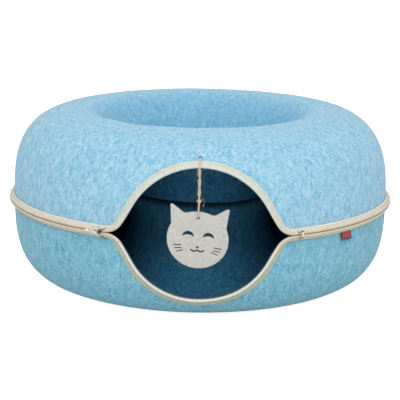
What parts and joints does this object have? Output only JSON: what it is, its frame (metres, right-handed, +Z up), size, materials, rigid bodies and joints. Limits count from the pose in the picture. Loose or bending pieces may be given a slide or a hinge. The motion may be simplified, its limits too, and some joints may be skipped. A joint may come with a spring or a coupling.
{
  "type": "felt play tunnel",
  "caption": "Ring-shaped felt tunnel for a pet, in two moulded halves zipped round the outside, with an arched mouth and a hanging felt cat head.",
  "frame": {"origin": "on the floor, at the middle of the footprint's box; the ring's own axis is 6.4 mm in front of it", "axes": "+Z up, the arched mouth faces -Y, +X along the ring's width to the right of the mouth"},
  "size_m": [0.6, 0.5872, 0.264],
  "materials": {
    "felt_upper": "pressed polyester felt, mottled light blue",
    "felt_lower": "pressed polyester felt, mottled light blue",
    "zip_tape": "woven cream zip tape",
    "zip_metal": "polished white metal",
    "label": "woven label, left bare",
    "toy_felt": "pressed felt, pale grey, laser cut",
    "jute": "twisted jute string"
  },
  "bodies": {
    "root": {"felt_top": "felt_upper", "felt_bottom": "felt_lower", "zip_tape_top": "zip_tape", "zip_tape_bottom": "zip_tape", "slider_body": "zip_metal", "slider_puller": "zip_metal", "zip_stop": "zip_metal", "side_label": "label", "toy_cat": "toy_felt", "cord_front": "jute", "cord_back": "jute", "cord_knot": "jute"}
  },
  "joints": []
}
